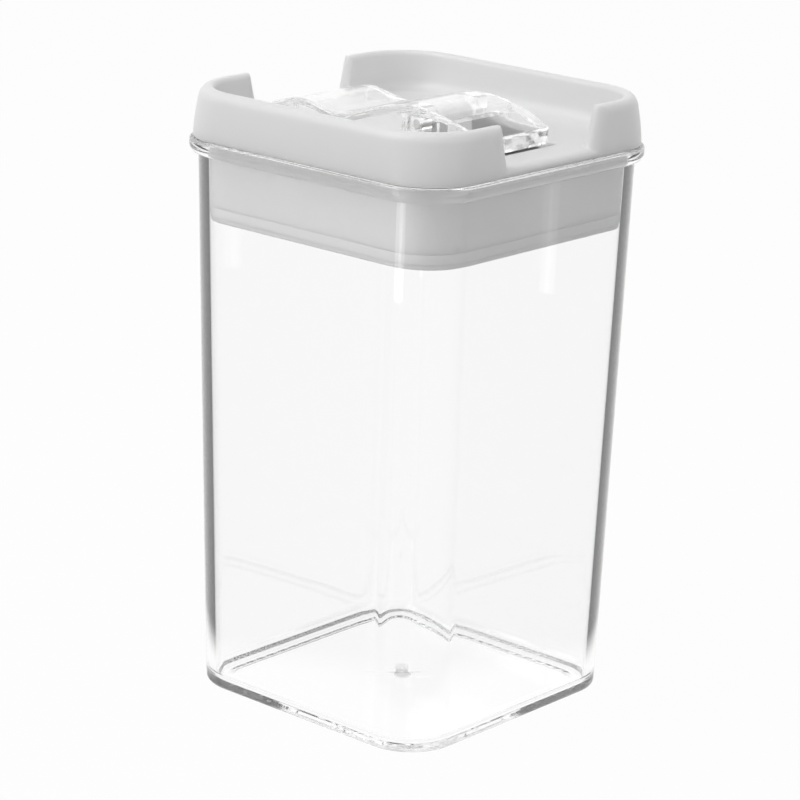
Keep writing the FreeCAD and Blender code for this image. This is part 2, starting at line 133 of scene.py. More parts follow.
class JarSizes(bpy.types.PropertyGroup):
    """Sizes of the clear jar."""

    rim_side: length("Rim side", "Outer side of the jar's wall at the rim, without the bead", 100.0)
    base_side: length(
        "Base side", "Outer side of the jar at its base, before its edge is rounded", 93.6)
    corner_radius: length("Corner radius", "Radius of the upright outer corners", 16.25)
    wall: length("Wall", "Thickness of the side walls", 3.0)
    floor: length("Floor", "Height of the inner floor above the table", 2.0)
    base_edge: length("Base edge", "Radius of the outer edge round the base", 1.8)
    inner_edge: length("Inner edge", "Radius between the inner floor and the walls", 3.0)
    rim_edge: length("Rim edge", "Radius of the inner edge of the rim", 0.8)
    bead_height: length("Bead height", "Height of the bead round the rim", 4.6)
    bead_top: length("Bead top", "Radius of the bead's upper edge", 1.0)
    bead_foot: length("Bead foot", "Radius of the bead's lower edge", 2.4)
    foot_width: length("Foot width", "Width of the flat rim that the jar stands on", 7.8)
    foot_slope: length("Foot slope", "Width of the slope from the foot rim into the recess", 2.0)
    foot_recess: length("Foot recess", "Depth of the recess inside the foot rim", 0.4)
    gate_radius: length("Gate radius", "Radius of the round gate mark under the base", 3.0)
    gate_depth: length("Gate depth", "Depth of the gate mark above the recess", 0.4)


class LidSizes(bpy.types.PropertyGroup):
    """Sizes of the lid: skirt, cover and seal."""

    plug_clearance: length("Plug clearance", "Gap between the skirt and the inside of the jar", 0.3)
    skirt_wall: length("Skirt wall", "Thickness of the skirt at its bottom", 2.4)
    flange_height: length("Flange height", "Height of the inward flange above the seal", 2.0)
    foot_half: length("Cover foot", "Half the side of the cover at its foot", 51.15)
    lean: length("Lean", "How far the middle of the cover's sides leans in from foot to rim", 0.45)
    bulge: length("Bulge", "How far the middle of the cover's wall stands out", 0.35)
    foot_corner: length(
        "Foot corner", "Radius of the cover's corners at its foot, from above", 16.5)
    rim_corner: length("Rim corner", "Radius of the cover's corners at its rim, from above", 20.4)
    cover_wall: length("Cover wall", "Thickness of the cover's wall", 4.0)
    rim_depth: length("Rim depth", "How far the rim's outer rounding reaches in", 2.4)
    rim_drop: length("Rim drop", "How far the rim's outer rounding reaches down", 3.2)
    rim_inside: length("Rim inside", "Radius of the rim's inner edge", 1.4)
    lip_depth: length("Lip depth", "How far the rounding of the notch's edges reaches in", 3.2)
    lip_drop: length("Lip drop", "How far the rounding of the notch's lip reaches down", 1.6)
    crease: length("Crease", "Size of the chamfer at the cover's foot", 0.3)
    tray_floor: length("Tray floor", "Height of the tray floor above the table", 171.2)
    floor_thickness: length("Floor thickness", "Thickness of the tray floor", 2.2)
    tray_fillet: length("Tray fillet", "Radius between the tray floor and its wall", 4.0)
    notch_low: length("Notch at floor", "Half the notch's width at the tray floor", 18.3)
    notch_high: length("Notch at rim", "Half the notch's width at the rim", 21.5)
    notch_outer_round: length(
        "Notch outer round", "Width of the rounding of the notch's edges on the outside", 4.5)
    notch_inner_round: length(
        "Notch inner round", "Width of the rounding of the notch's edges on the tray's side", 1.2)
    notch_outer_blend: length(
        "Notch outer blend", "Height over which the slants run into rim and lip outside", 5.0)
    notch_blend: length(
        "Notch blend", "Height over which the slants run into rim and floor inside", 1.4)
    rib_thickness: length(
        "Rib thickness", "Thickness of the rib under the cover that finds the skirt", 1.5)
    rib_depth: length("Rib depth", "Depth of that rib below the jar's rim", 2.2)
    rib_clearance: length("Rib clearance", "Gap between the rib and the skirt", 0.15)
    seal_swell: length("Seal swell", "How far the middle of the squeezed seal stands out", 0.12)


class FinishColours(bpy.types.PropertyGroup):
    """Colours of the pieces, as sRGB hex values."""

    clear_plastic: StringProperty(
        name="Clear plastic", description="Tint of the clear jar and lever", default="#FFFFFF")
    white_plastic: StringProperty(
        name="White plastic", description="Colour of the lid, post and plate", default="#F3F3F3")
    white_silicone: StringProperty(
        name="White silicone", description="Colour of the seal", default="#EFEFEF")
    white_acetal: StringProperty(
        name="White acetal", description="Colour of the hinge pin", default="#F0F0EE")
    steel: StringProperty(
        name="Steel", description="Colour of the screws", default="#C4C6C8")


class StudioSettings(bpy.types.PropertyGroup):
    """Camera, light and table."""

    azimuth: FloatProperty(
        name="Azimuth", description="Direction that the camera stands in, from -Y towards +X",
        default=math.radians(41.257), subtype="ANGLE")
    elevation: FloatProperty(
        name="Elevation", description="Height of the camera above the horizon",
        default=math.radians(16.723), subtype="ANGLE")
    roll: FloatProperty(
        name="Roll", description="Turn of the picture about its middle",
        default=math.radians(1.848), subtype="ANGLE")
    distance: length("Distance", "From the camera to the point it looks at", 946.19)
    aim_height: length("Aim height", "Height of the point on the jar's axis that it looks at", 89.0)
    lens: FloatProperty(
        name="Lens", description="Focal length in millimetres on a 36 mm sensor", default=142.515)
    shift: FloatProperty(
        name="Shift", description="Sideways shift of the frame, in widths of the picture",
        default=-0.011715)
    backdrop: FloatProperty(
        name="Backdrop", description="Share of plain white that the table shows to the eye",
        default=0.97, min=0.0, max=1.0, subtype="FACTOR")
    ambient: FloatProperty(
        name="Ambient", description="Strength of the even light from all round", default=0.42)
    key: FloatProperty(
        name="Key", description="Power of the large lamp on the left", default=4.5)
    fill: FloatProperty(
        name="Fill", description="Power of the weak lamp on the right", default=1.2)
    overhead: FloatProperty(
        name="Overhead", description="Power of the soft lamp above", default=5.0)
    strip: FloatProperty(
        name="Strip", description="Power of the small upright lamp that glints on the front corner",
        default=0.07)


def linear(hex_colour):
    """An sRGB hex colour as linear red, green, blue and alpha."""
    channels = [int(hex_colour[i:i + 2], 16) / 255 for i in (1, 3, 5)]
    return [c / 12.92 if c <= 0.04045 else ((c + 0.055) / 1.055) ** 2.4 for c in channels] + [1.0]


def add_node(tree, kind, settings=None, values=None, links=None):
    """A node with its own settings, socket values, and links from other nodes' outputs."""
    node = tree.nodes.new(kind)
    for name, value in (settings or {}).items():
        setattr(node, name, value)
    for socket, value in (values or {}).items():
        node.inputs[socket].default_value = value
    for socket, output in (links or {}).items():
        tree.links.new(output, node.inputs[socket])
    return node


def compute(tree, operation, *terms):
    """The output of a Math node, from numbers and other nodes' outputs."""
    numbers = {index: term for index, term in enumerate(terms) if isinstance(term, float)}
    outputs = {index: term for index, term in enumerate(terms) if index not in numbers}
    node = add_node(
        tree, "ShaderNodeMath", settings={"operation": operation}, values=numbers, links=outputs)
    return node.outputs[0]


def new_material(name):
    """An empty material with its output node."""
    material = bpy.data.materials.new(name)
    material.use_nodes = True
    tree = material.node_tree
    tree.nodes.clear()
    output = add_node(tree, "ShaderNodeOutputMaterial")
    return material, tree, output


def clear_styrene(name, tint, wave_mm, wave_depth_mm, haze_range, gate_mm=None):
    """Clear styrene acrylonitrile, moulded in a polished tool.

    It looks like glass with an index of 1.57; slow flow waves in the surface bend what lies behind a
    little, and handling leaves a faint change of haze. Round the gate mark on the axis the colour
    turns
    grey: painted shade for the darker look of the frosted gate.
    """
    material, tree, output = new_material(name)
    place = add_node(tree, "ShaderNodeTexCoord")
    flow = add_node(
        tree, "ShaderNodeTexNoise",
        values={"Scale": 1000 / wave_mm, "Detail": 1.0, "Roughness": 0.3},
        links={"Vector": place.outputs["Object"]})
    clearest, haziest = haze_range
    haze = add_node(
        tree, "ShaderNodeMapRange",
        values={"From Min": 0.35, "From Max": 0.75, "To Min": clearest, "To Max": haziest},
        links={"Value": flow.outputs["Fac"]})
    waves = add_node(
        tree, "ShaderNodeBump", values={"Strength": 1.0, "Distance": wave_depth_mm * MM},
        links={"Height": flow.outputs["Fac"]})
    plastic = add_node(
        tree, "ShaderNodeBsdfPrincipled",
        values={"Base Color": linear(tint), "IOR": 1.57, "Transmission Weight": 1.0},
        links={"Roughness": haze.outputs["Result"], "Normal": waves.outputs["Normal"]})
    # Painted shade: a grey tint in a round patch over the gate mark
    if gate_mm:
        flat = add_node(
            tree, "ShaderNodeVectorMath", settings={"operation": "MULTIPLY"}, values={1: (1, 1, 0)},
            links={0: place.outputs["Object"]})
        away = add_node(
            tree, "ShaderNodeVectorMath", settings={"operation": "LENGTH"},
            links={0: flat.outputs["Vector"]})
        clear = add_node(
            tree, "ShaderNodeMapRange",
            values={"From Min": 0.9 * gate_mm * MM, "From Max": 1.05 * gate_mm * MM},
            links={"Value": away.outputs["Value"]})
        painted_gate_shade = add_node(
            tree, "ShaderNodeMix", settings={"data_type": "RGBA"},
            values={COLOUR_A: linear(GATE_PAINTED_SHADE), COLOUR_B: linear(tint)},
            links={0: clear.outputs["Result"]})
        tree.links.new(painted_gate_shade.outputs[COLOUR_OUT], plastic.inputs["Base Color"])
    # Lamps shine through it, less what each face turns back
    path = add_node(tree, "ShaderNodeLightPath")
    through = add_node(
        tree, "ShaderNodeBsdfTransparent", values={"Color": linear(LAMP_THROUGH)})
    mix = add_node(
        tree, "ShaderNodeMixShader",
        links={
            0: path.outputs["Is Shadow Ray"], 1: plastic.outputs["BSDF"],
            2: through.outputs["BSDF"]})
    tree.links.new(mix.outputs["Shader"], output.inputs["Surface"])
    return material


def moulded_abs(name, colour):
    """White ABS, moulded in a fine satin tool.

    It gives a soft broad highlight; a very fine orange peel breaks it up, and gloss and tone drift
    slightly over a few centimetres. Thin walls let some light through, which lifts the shade behind
    them.
    """
    material, tree, output = new_material(name)
    place = add_node(tree, "ShaderNodeTexCoord")
    peel_mm = 1.6
    drift_mm = 34.0
    glow_mm = 4.0
    peel = add_node(
        tree, "ShaderNodeTexNoise", values={"Scale": 1000 / peel_mm, "Detail": 2.0},
        links={"Vector": place.outputs["Object"]})
    drift = add_node(
        tree, "ShaderNodeTexNoise", values={"Scale": 1000 / drift_mm, "Detail": 2.0},
        links={"Vector": place.outputs["Object"]})
    tone = add_node(
        tree, "ShaderNodeMapRange",
        values={"From Min": 0.1, "From Max": 0.9, "To Min": 0.99, "To Max": 1.0},
        links={"Value": drift.outputs["Fac"]})
    shade = add_node(
        tree, "ShaderNodeMix", settings={"data_type": "RGBA", "blend_type": "MULTIPLY"},
        values={0: 1.0, COLOUR_A: linear(colour)}, links={COLOUR_B: tone.outputs["Result"]})
    gloss = add_node(
        tree, "ShaderNodeMapRange",
        values={"From Min": 0.1, "From Max": 0.9, "To Min": 0.27, "To Max": 0.36},
        links={"Value": drift.outputs["Fac"]})
    skin = add_node(
        tree, "ShaderNodeBump", values={"Strength": 0.25, "Distance": 0.006 * MM},
        links={"Height": peel.outputs["Fac"]})
    plastic = add_node(
        tree, "ShaderNodeBsdfPrincipled",
        values={
            "IOR": 1.53, "Subsurface Weight": 0.4, "Subsurface Scale": 1.0,
            "Subsurface Radius": [glow_mm * MM] * 3},
        links={
            "Base Color": shade.outputs[COLOUR_OUT], "Roughness": gloss.outputs["Result"],
            "Normal": skin.outputs["Normal"]})
    tree.links.new(plastic.outputs["BSDF"], output.inputs["Surface"])
    return material


def soft_silicone(name, colour):
    """White silicone rubber, pressed in a blasted mould: dull, soft and slightly translucent."""
    material, tree, output = new_material(name)
    place = add_node(tree, "ShaderNodeTexCoord")
    blast_mm = 0.8
    glow_mm = 0.6
    blast = add_node(
        tree, "ShaderNodeTexNoise", values={"Scale": 1000 / blast_mm, "Detail": 2.0},
        links={"Vector": place.outputs["Object"]})
    dull = add_node(
        tree, "ShaderNodeMapRange", values={"To Min": 0.48, "To Max": 0.62},
        links={"Value": blast.outputs["Fac"]})
    skin = add_node(
        tree, "ShaderNodeBump", values={"Strength": 0.3, "Distance": 0.01 * MM},
        links={"Height": blast.outputs["Fac"]})
    rubber = add_node(
        tree, "ShaderNodeBsdfPrincipled",
        values={
            "Base Color": linear(colour), "IOR": 1.41, "Subsurface Weight": 0.15,
            "Subsurface Radius": [glow_mm * MM] * 3, "Subsurface Scale": 1.0,
            "Sheen Weight": 0.1},
        links={"Roughness": dull.outputs["Result"], "Normal": skin.outputs["Normal"]})
    tree.links.new(rubber.outputs["BSDF"], output.inputs["Surface"])
    return material


def turned_acetal(name, colour):
    """White acetal rod, turned: smooth and waxy, with a faint ring pattern along its axis."""
    material, tree, output = new_material(name)
    place = add_node(tree, "ShaderNodeTexCoord")
    tool_mark_mm = 5.6549
    marks = add_node(
        tree, "ShaderNodeTexWave", settings={"wave_type": "BANDS", "bands_direction": "Y"},
        values={"Scale": 1000 / (tool_mark_mm * WAVE_BANDS), "Distortion": 0.4},
        links={"Vector": place.outputs["Object"]})
    wax = add_node(
        tree, "ShaderNodeMapRange", values={"To Min": 0.32, "To Max": 0.42},
        links={"Value": marks.outputs["Fac"]})
    rod = add_node(
        tree, "ShaderNodeBsdfPrincipled", values={"Base Color": linear(colour), "IOR": 1.48},
        links={"Roughness": wax.outputs["Result"]})
    tree.links.new(rod.outputs["BSDF"], output.inputs["Surface"])
    return material


def rolled_steel(name, colour):
    """Bright stainless screw steel, cold headed: metallic, with fine drift in its polish."""
    material, tree, output = new_material(name)
    place = add_node(tree, "ShaderNodeTexCoord")
    grain_mm = 0.5
    grain = add_node(
        tree, "ShaderNodeTexNoise", values={"Scale": 1000 / grain_mm, "Detail": 3.0},
        links={"Vector": place.outputs["Object"]})
    polish = add_node(
        tree, "ShaderNodeMapRange", values={"To Min": 0.2, "To Max": 0.36},
        links={"Value": grain.outputs["Fac"]})
    steel = add_node(
        tree, "ShaderNodeBsdfPrincipled", values={"Base Color": linear(colour), "Metallic": 1.0},
        links={"Roughness": polish.outputs["Result"]})
    tree.links.new(steel.outputs["BSDF"], output.inputs["Surface"])
    return material


def finish(name):
    """The material of that name, made when a piece first asks for it."""
    found = bpy.data.materials.get(name)
    if found:
        return found
    colours = bpy.context.scene.jar_colours
    gate_mm = bpy.context.scene.jar_sizes.gate_radius / MM
    makers = {
        "clear_styrene_jar": lambda: clear_styrene(
            name, colours.clear_plastic, wave_mm=26.0, wave_depth_mm=0.02, haze_range=(0.0, 0.03),
            gate_mm=gate_mm),
        "clear_styrene_lever": lambda: clear_styrene(
            name, colours.clear_plastic, wave_mm=9.0, wave_depth_mm=0.012, haze_range=(0.05, 0.1)),
        "white_abs_moulded": lambda: moulded_abs(name, colours.white_plastic),
        "white_silicone_pressed": lambda: soft_silicone(name, colours.white_silicone),
        "white_acetal_turned": lambda: turned_acetal(name, colours.white_acetal),
        "stainless_headed": lambda: rolled_steel(name, colours.steel),
    }
    return makers[name]()


def square_path(side_x, side_y, corner_steps):
    """A walk round a rounded square, counter-clockwise, as four arrays.

    Each step has a place on the unit square (a, b) and an outward direction (dx, dy): along a side
    the place moves and the direction stays, round a corner the place stays and the direction turns.
    A ring of corner centre c and radius r is then c * (a, b) + r * (dx, dy). side_x and side_y give
    the steps between -1 and 1 along the sides that face X and Y.
    """
    parts = []
    for quarter in range(4):
        turn = quarter * math.pi / 2
        normal = np.array([math.cos(turn), math.sin(turn)])
        tangent = np.array([-normal[1], normal[0]])
        side = side_x if quarter % 2 == 0 else side_y
        place = normal + side[:, None] * tangent
        parts.append(np.hstack([place, np.tile(normal, (len(side), 1))]))
        angles = turn + np.linspace(0, math.pi / 2, corner_steps + 1)
        corner = np.tile(normal + tangent, (len(angles), 1))
        parts.append(np.hstack([corner, np.cos(angles)[:, None], np.sin(angles)[:, None]]))
    return np.vstack(parts).T


def even_steps(count):
    """Evenly spaced steps along a side, without its ends."""
    return np.linspace(-1, 1, count + 2)[1:-1]


def even_path(side_steps):
    """A walk round a rounded square with evenly spaced steps along all its sides."""
    side = even_steps(side_steps)
    return square_path(side, side, CORNER_STEPS)


def arc(centre, level, radius, start, end, steps):
    """Points of a profile arc between two angles in degrees: distance outward and height of each.

    They are centre + radius * cos(angle) and level + radius * sin(angle).
    """
    angles = np.radians(np.linspace(start, end, steps + 1))
    return np.array([centre + radius * np.cos(angles), level + radius * np.sin(angles)]).T


def sweep(path, centre, radius, height):
    """Rings of a profile carried round a square path.

    Each is centre * (a, b) + radius * (dx, dy), at its height.
    """
    a, b, dx, dy = path
    x = centre[:, None] * a + radius[:, None] * dx
    y = centre[:, None] * b + radius[:, None] * dy
    z = np.broadcast_to(height[:, None], x.shape)
    return np.stack([x, y, z], axis=-1)


def grid_mesh(name, points, loop_rows=False, pole_low=None, pole_high=None):
    """A mesh over a grid of closed rings; the rows may close too, or end in a pole at either end."""
    rows, columns, _ = points.shape
    index = np.arange(rows * columns).reshape(rows, columns)
    if loop_rows:
        index = np.vstack([index, index[:1]])
    right = np.roll(index, -1, axis=1)
    quads = np.stack([index[:-1], right[:-1], right[1:], index[1:]], axis=-1).reshape(-1, 4)
    vertices = points.reshape(-1, 3)
    faces = quads.tolist()
    if pole_low is not None:
        low = len(vertices)
        vertices = np.vstack([vertices, [pole_low]])
        faces += np.stack([right[0], index[0], np.full(columns, low)], axis=-1).tolist()
    if pole_high is not None:
        high = len(vertices)
        vertices = np.vstack([vertices, [pole_high]])
        faces += np.stack([index[-1], right[-1], np.full(columns, high)], axis=-1).tolist()
    mesh = bpy.data.meshes.new(name)
    mesh.from_pydata(vertices.tolist(), [], faces)
    return mesh


def new_piece(name, mesh, material, sharp_degrees=38):
    """An object for a finished mesh, smooth but for its sharp edges, at the origin."""
    mesh.polygons.foreach_set("use_smooth", np.ones(len(mesh.polygons), bool))
    mesh.set_sharp_from_angle(angle=math.radians(sharp_degrees))
    mesh.materials.append(finish(material))
    mesh.update()
    piece = bpy.data.objects.new(name, mesh)
    bpy.context.scene.collection.objects.link(piece)
    return piece


def jar_half(z):
    """Half the jar's outer side at a height: it tapers evenly from rim to base."""
    sizes = bpy.context.scene.jar_sizes
    share = z / JAR_HIGH[2]
    return (sizes.base_side + (sizes.rim_side - sizes.base_side) * share) / 2


def rim_centre():
    """Corner centre of the jar's wall at its rim, which the straight faces inside the lid share."""
    sizes = bpy.context.scene.jar_sizes
    return sizes.rim_side / 2 - sizes.corner_radius


class JAR_OT_build_jar(bpy.types.Operator):
    """Makes the clear jar as one closed shell with real wall thickness"""

    bl_idname = "jar.build_jar"
    bl_label = "Clear jar"

    def execute(self, context):
        s = context.scene.jar_sizes
        top = JAR_HIGH[2]
        base_centre = s.base_side / 2 - s.corner_radius
        ceiling = s.foot_recess + s.gate_depth
        recess_low = s.corner_radius - s.foot_width
        recess_high = recess_low - s.foot_slope
        inner = s.corner_radius - s.wall
        bead = JAR_HIGH[0] - rim_centre()
        rows = []

        def add(centre, points):
            rows.extend((centre, radius, z) for radius, z in points)

        def add_tapered(radius, levels):
            rows.extend((jar_half(z) - s.corner_radius, radius, z) for z in levels)

        # Gate mark, then the recess that slopes to the foot rim
        soft = JAR_SOFT
        gate_edge = s.gate_radius + 2 * soft
        add(0.0, [
            (s.gate_radius - 2 * soft, ceiling), (s.gate_radius - soft / 2, ceiling - soft / 4),
            (s.gate_radius, ceiling - soft), (s.gate_radius + soft / 2, s.foot_recess + soft / 4),
            (gate_edge, s.foot_recess)])
        for share in np.linspace(0.2, 0.98, 6):
            radius = gate_edge + (recess_high - gate_edge) * share
            add(base_centre * share, [(radius, s.foot_recess)])
        add(base_centre, [
            (recess_high, s.foot_recess), (recess_low, 0.0), (recess_low + soft, 0.0)])
        add(base_centre, arc(s.corner_radius - s.base_edge, s.base_edge, s.base_edge, -90, 0, 8))
        # Outer wall up to the bead, bead, rim, inner wall, inner floor
        bead_z = top - s.bead_height
        levels = np.linspace(s.base_edge, bead_z - soft, 14)[1:]
        add_tapered(s.corner_radius, levels)
        add(rim_centre(), arc(bead - s.bead_foot, bead_z + s.bead_foot, s.bead_foot, -80, 0, 10))
        add(rim_centre(), arc(bead - s.bead_top, top - s.bead_top, s.bead_top, 0, 90, 8))
        add(rim_centre(), arc(inner + s.rim_edge, top - s.rim_edge, s.rim_edge, 90, 180, 6))
        bend_z = s.floor + s.inner_edge
        add_tapered(inner, [z for z in levels[::-1] if z > bend_z + s.wall])
        bend_centre = jar_half(bend_z) - s.corner_radius
        add(bend_centre, arc(inner - s.inner_edge, bend_z, s.inner_edge, 0, -90, 12))
        for share in np.linspace(0.95, 0.1, 7):
            add(bend_centre * share, [((inner - s.inner_edge) * share, s.floor)])
        centre, radius, height = np.array(rows).T
        mesh = grid_mesh(
            "clear_jar", sweep(even_path(JAR_SIDE_STEPS), centre, radius, height),
            pole_low=(0, 0, ceiling), pole_high=(0, 0, s.floor))
        jar = new_piece("clear_jar", mesh, "clear_styrene_jar")
        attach(jar, "jar")
        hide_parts("jar_body")
        return {"FINISHED"}


def plug_profile(z, clearance):
    """Corner centre and radius of a ring that follows the inside of the jar at a clearance."""
    sizes = bpy.context.scene.jar_sizes
    centre = jar_half(np.asarray(z)) - sizes.corner_radius
    radius = np.full_like(centre, sizes.corner_radius - sizes.wall - clearance)
    return centre, radius


def skirt_cavity_half():
    """Half the side of the straight space inside the skirt."""
    lid = bpy.context.scene.lid_sizes
    wall = bpy.context.scene.jar_sizes.wall
    return jar_half(SKIRT_LOW[2]) - wall - lid.plug_clearance - lid.skirt_wall


class JAR_OT_build_skirt(bpy.types.Operator):
    """Makes the skirt: a plug wall inside the jar's mouth with an inward flange below"""

    bl_idname = "jar.build_skirt"
    bl_label = "Lid skirt"

    def execute(self, context):
        lid = context.scene.lid_sizes
        low = SKIRT_LOW[2]
        high = SKIRT_HIGH[2]
        corner = rim_centre()
        hole = SEAL_HOLE_HALF - corner
        cavity = skirt_cavity_half() - corner
        soft = SKIRT_SOFT
        rows = [(corner, hole + soft, low)]
        foot_centre, foot_radius = plug_profile(low, lid.plug_clearance)
        for radius, z in arc(float(foot_radius) - soft, low + soft, soft, -90, 0, 4):
            rows.append((float(foot_centre), radius, z))
        levels = np.linspace(low + 2 * soft, high, 10)
        centres, radii = plug_profile(levels, lid.plug_clearance)
        rows += list(zip(centres, radii, levels))
        flange_top = low + lid.flange_height
        inside = [(cavity, high), (cavity, flange_top), (hole, flange_top), (hole, low + soft)]
        rows += [(corner, radius, z) for radius, z in inside]
        centre, radius, height = np.array(rows).T
        rings = sweep(even_path(LID_SIDE_STEPS), centre, radius, height)
        mesh = grid_mesh("lid_plug_skirt", rings, loop_rows=True)
        skirt = new_piece("lid_plug_skirt", mesh, "white_abs_moulded")
        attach(skirt, "lid")
        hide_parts("lid_skirt")
        return {"FINISHED"}


def soft_min(first, second, band):
    """The smaller of two values, rounded where they come within a band of each other."""
    near = np.maximum(band - np.abs(first - second), 0) / band
    return np.minimum(first, second) - near * near * band / 4


def notch_height(across, blend, lid, top):
    """Height of the wall at a distance from the notch's middle.

    The tray floor, the slant between the notch's two widths and the rim run into each other over a
    band of height, the blend.
    """
    slope = (top - lid.tray_floor) / (lid.notch_high - lid.notch_low)
    slant = lid.tray_floor + (across - lid.notch_low) * slope
    lower = -soft_min(-slant, -lid.tray_floor, blend)
    return soft_min(lower, top, blend)


def along_side(step, centre):
    """Distance along a side at a step from -1 to 1.

    Up to NOTCH_REACH it is the same on every ring, so the columns at a notch stay upright; from
    there it runs on evenly to the ring's own corner centre.
    """
    even = NOTCH_REACH / STEADY_STEP * step
    past = (np.abs(step) - STEADY_STEP) / (1 - STEADY_STEP)
    outer = np.sign(step) * (NOTCH_REACH + past * (centre - NOTCH_REACH))
    return np.where(np.abs(step) <= STEADY_STEP, even, outer)


class CoverGrid:
    """The cover's surface as closed rings that share their columns.

    A ring has its own half side, height and corner centre. The columns lie close together where the
    notches' edges run, and a narrow pair stands at each edge of the post's slot.
    """

    def __init__(self, lid):
        self.lid = lid
        self.top = COVER_HIGH[2]
        self.foot_z = SKIRT_HIGH[2]
        self.crease_z = self.foot_z + lid.crease
        self.floor_half = lid.foot_half - lid.cover_wall - lid.tray_fillet
        self.underside_z = lid.tray_floor - lid.floor_thickness
        self.well_y = (LEVER_HIGH[1] - LEVER_LOW[1]) / 2 + WELL_GAP
        self.slot_step = SLOT_HALF / self.well_y
        middle = [0.0, 0.2, self.slot_step - SLOT_EDGE, self.slot_step + SLOT_EDGE]
        notch = np.linspace(NOTCH_START, NOTCH_REACH, NOTCH_COLUMNS) / NOTCH_REACH * STEADY_STEP
        outer = [0.94, 0.97]
        side = np.concatenate([middle, notch, outer])
        notched = np.concatenate([-side[:0:-1], side])
        self.path = square_path(notched, even_steps(LID_SIDE_STEPS), CORNER_STEPS)
        _, b, dx, _ = self.path
        past_notch = COVER_HIGH[0]
        self.across = np.where(np.abs(dx) > ON_SIDE, np.abs(along_side(b, NOTCH_REACH)), past_notch)
        self.rings = []

    def climb(self, z):
        """How far up the wall a height is, from 0 at the crease to 1 at the rim."""
        return np.clip((z - self.crease_z) / (self.top - self.crease_z), 0, 1)

    def face_half(self, z):
        """Half the side of the leaning outer face at a height."""
        return self.lid.foot_half - self.lid.lean * self.climb(z)

    def wall_half(self, z):
        """Half the side of the outer wall at a height: the leaning face and its bulge."""
        climb = self.climb(z)
        return self.face_half(z) + 4 * self.lid.bulge * climb * (1 - climb)

    def wall_top(self, rounding, blend):
        """Height of the wall in each column, with the notches' edges moved out by a rounding."""
        return notch_height(self.across - rounding, blend, self.lid, self.top)

    def fullness(self, wall_top):
        """One where the wall has its full height, zero on the floor of a notch."""
        return (wall_top - self.lid.tray_floor) / (self.top - self.lid.tray_floor)

    def lip_to_rim(self, lip, rim, wall_top):
        """A size that goes from its value at a notch's lip to its value at the full rim."""
        return lip + (rim - lip) * self.fullness(wall_top)

    def add(self, half, height, centre=None):
        """Adds a ring, by default with the corner centre of the outer wall at its height."""
        lid = self.lid
        a, b, dx, dy = self.path
        half = np.broadcast_to(half, a.shape)
        height = np.broadcast_to(height, a.shape)
        if centre is None:
            corner = lid.foot_corner + (lid.rim_corner - lid.foot_corner) * self.climb(height)
            centre = self.face_half(height) - corner
        x = along_side(a, centre) + (half - centre) * dx
        y = along_side(b, centre) + (half - centre) * dy
        self.rings.append(np.stack([x, y, height], axis=-1))

    def add_well(self, growth, height):
        """Adds a ring round the lever's well, with the slot for the post in its edge."""
        a, b, dx, _ = self.path
        high = LEVER_HIGH[0] + WELL_GAP
        x = (WELL_START + high) / 2 + ((high - WELL_START) / 2 + growth) * a
        in_slot = (dx < -ON_SIDE) & (np.abs(b) < self.slot_step)
        x = np.where(in_slot, x - SLOT_REACH, x)
        y = (self.well_y + growth) * b
        self.rings.append(np.stack([x, y, np.full_like(x, height)], axis=-1))

    def outside(self):
        """Crease, wall, and the outer rounding, which is wider and softer along the notches.

        Returns half the side of the crest, where the rounding ends.
        """
        lid = self.lid
        self.add(lid.foot_half - lid.crease, self.foot_z)
        wall_top = self.wall_top(lid.notch_outer_round, lid.notch_outer_blend)
        start_z = wall_top - self.lip_to_rim(lid.lip_drop, lid.rim_drop, wall_top)
        for share in np.linspace(0, 1, 11):
            z = self.crease_z + share * (start_z - self.crease_z)
            self.add(self.wall_half(z), z)
        start = self.wall_half(start_z)
        for angle in np.radians(np.linspace(0, 90, 11)[1:]):
            fade = 1 - math.sin(angle)
            blend = lid.notch_blend + (lid.notch_outer_blend - lid.notch_blend) * fade
            wall_top = self.wall_top(lid.notch_outer_round * fade, blend)
            drop = self.lip_to_rim(lid.lip_drop, lid.rim_drop, wall_top)
            depth = self.lip_to_rim(lid.lip_depth, lid.rim_depth, wall_top)
            self.add(start - depth * (1 - math.cos(angle)), wall_top - drop * fade)
        return start - depth

    def inside(self, crest):
        """The rim's inner edge, wall and fillet; in a notch these rows spread out on its floor."""
        lid = self.lid
        low_z = lid.tray_floor + lid.tray_fillet
        foot = self.face_half(low_z) - lid.cover_wall
        head = self.face_half(self.top) - lid.cover_wall
        edge = arc(head + lid.rim_inside, self.top - lid.rim_inside, lid.rim_inside, 90, 180, 8)
        wall = np.linspace((head, edge[-1, 1]), (foot, low_z), 5)[1:-1]
        fillet = arc(foot - lid.tray_fillet, low_z, lid.tray_fillet, 0, -90, 10)
        rows = np.vstack([edge, wall, fillet])
        for index, (half, full_z) in enumerate(rows):
            fade = min(index / len(edge), 1.0)
            share = self.fullness(self.wall_top(lid.notch_inner_round * fade, lid.notch_blend))
            spread = crest + (self.floor_half - crest) * (index + 1) / len(rows)
            self.add(
                share * half + (1 - share) * spread,
                lid.tray_floor + (full_z - lid.tray_floor) * share)

    def floor(self):
        """The tray floor, and the well that the lever's tail swings through."""
        tray_floor = self.lid.tray_floor
        self.add(self.floor_half - FLOOR_BAND, tray_floor)
        self.add_well(WELL_SOFT, tray_floor)
        self.add_well(0.0, tray_floor - WELL_SOFT)
        self.add_well(0.0, self.underside_z)

    def underside(self):
        """The underside and the locating rib, which follows the skirt's corners."""
        lid = self.lid
        outer = skirt_cavity_half() - lid.rib_clearance
        inner = outer - lid.rib_thickness
        rib_z = self.foot_z - lid.rib_depth
        self.add(inner, self.underside_z, rim_centre())
        self.add(inner, rib_z, rim_centre())
        self.add(outer, rib_z, rim_centre())
        self.add(outer, self.foot_z, rim_centre())


